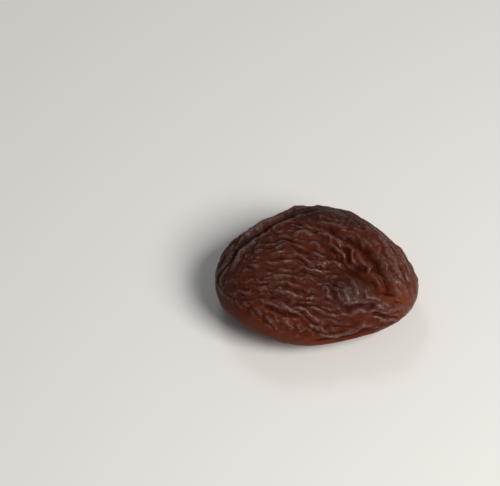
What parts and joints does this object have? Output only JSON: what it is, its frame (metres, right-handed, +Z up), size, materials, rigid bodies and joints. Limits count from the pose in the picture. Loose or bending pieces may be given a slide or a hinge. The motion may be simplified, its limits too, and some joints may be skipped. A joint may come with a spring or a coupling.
{
  "type": "dried apricot",
  "caption": "Whole pitted dried apricot, a flattened oval fruit with a sunken, deeply wrinkled crown, lying on its broad side.",
  "frame": {"origin": "on the surface that the fruit lies on, under the middle of its outline", "axes": "+X along the fruit's length towards its stalk end, +Y across its width away from the plain front side, +Z up through its thickness"},
  "size_m": [0.0438, 0.0362, 0.0156],
  "materials": {
    "dried_flesh": "dark red-brown dried fruit skin, translucent in the creases, with a faint grey bloom on the folds"
  },
  "bodies": {
    "root": {"apricot": "dried_flesh"}
  },
  "joints": []
}
